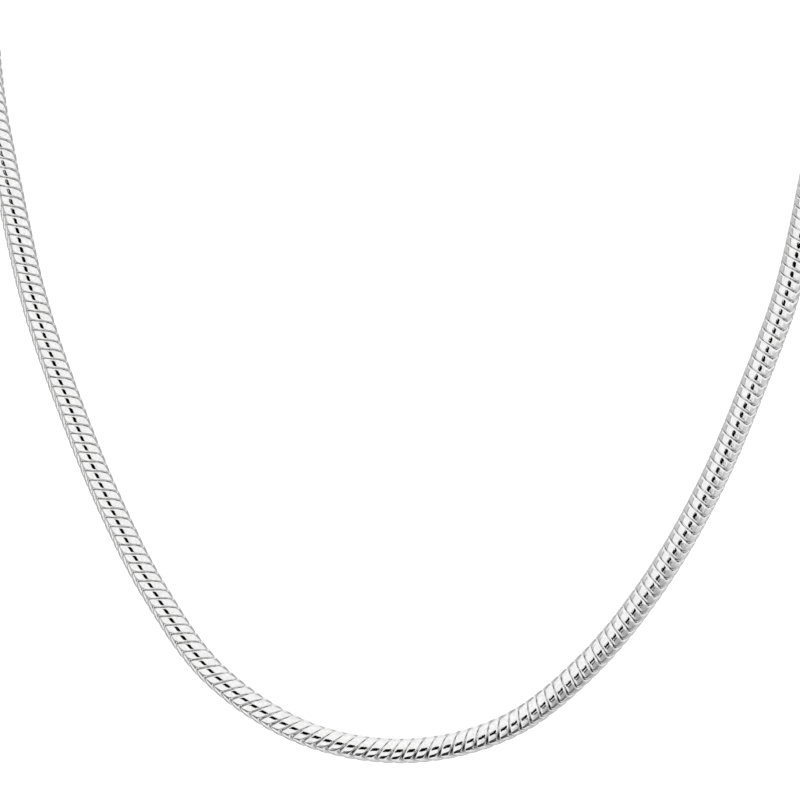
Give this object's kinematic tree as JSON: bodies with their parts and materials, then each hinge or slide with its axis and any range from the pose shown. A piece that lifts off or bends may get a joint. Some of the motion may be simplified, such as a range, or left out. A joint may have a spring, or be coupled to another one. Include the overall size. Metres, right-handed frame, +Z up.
{
  "type": "snake chain",
  "caption": "Round snake chain necklace of interlocked rings, worn as a closed loop, with a plain barrel clasp at the nape.",
  "frame": {"origin": "where the clasp's barrel rests on the back of the neck, at the middle of its front side", "axes": "+Z up, +X to the right as the front is seen, -Y towards the front, where the chain hangs lowest"},
  "size_m": [0.1344, 0.119, 0.1675],
  "materials": {
    "silver": "polished silver, mirror bright, with dark seams between the links"
  },
  "bodies": {
    "root": {"chain": "silver", "clasp": "silver"}
  },
  "joints": []
}
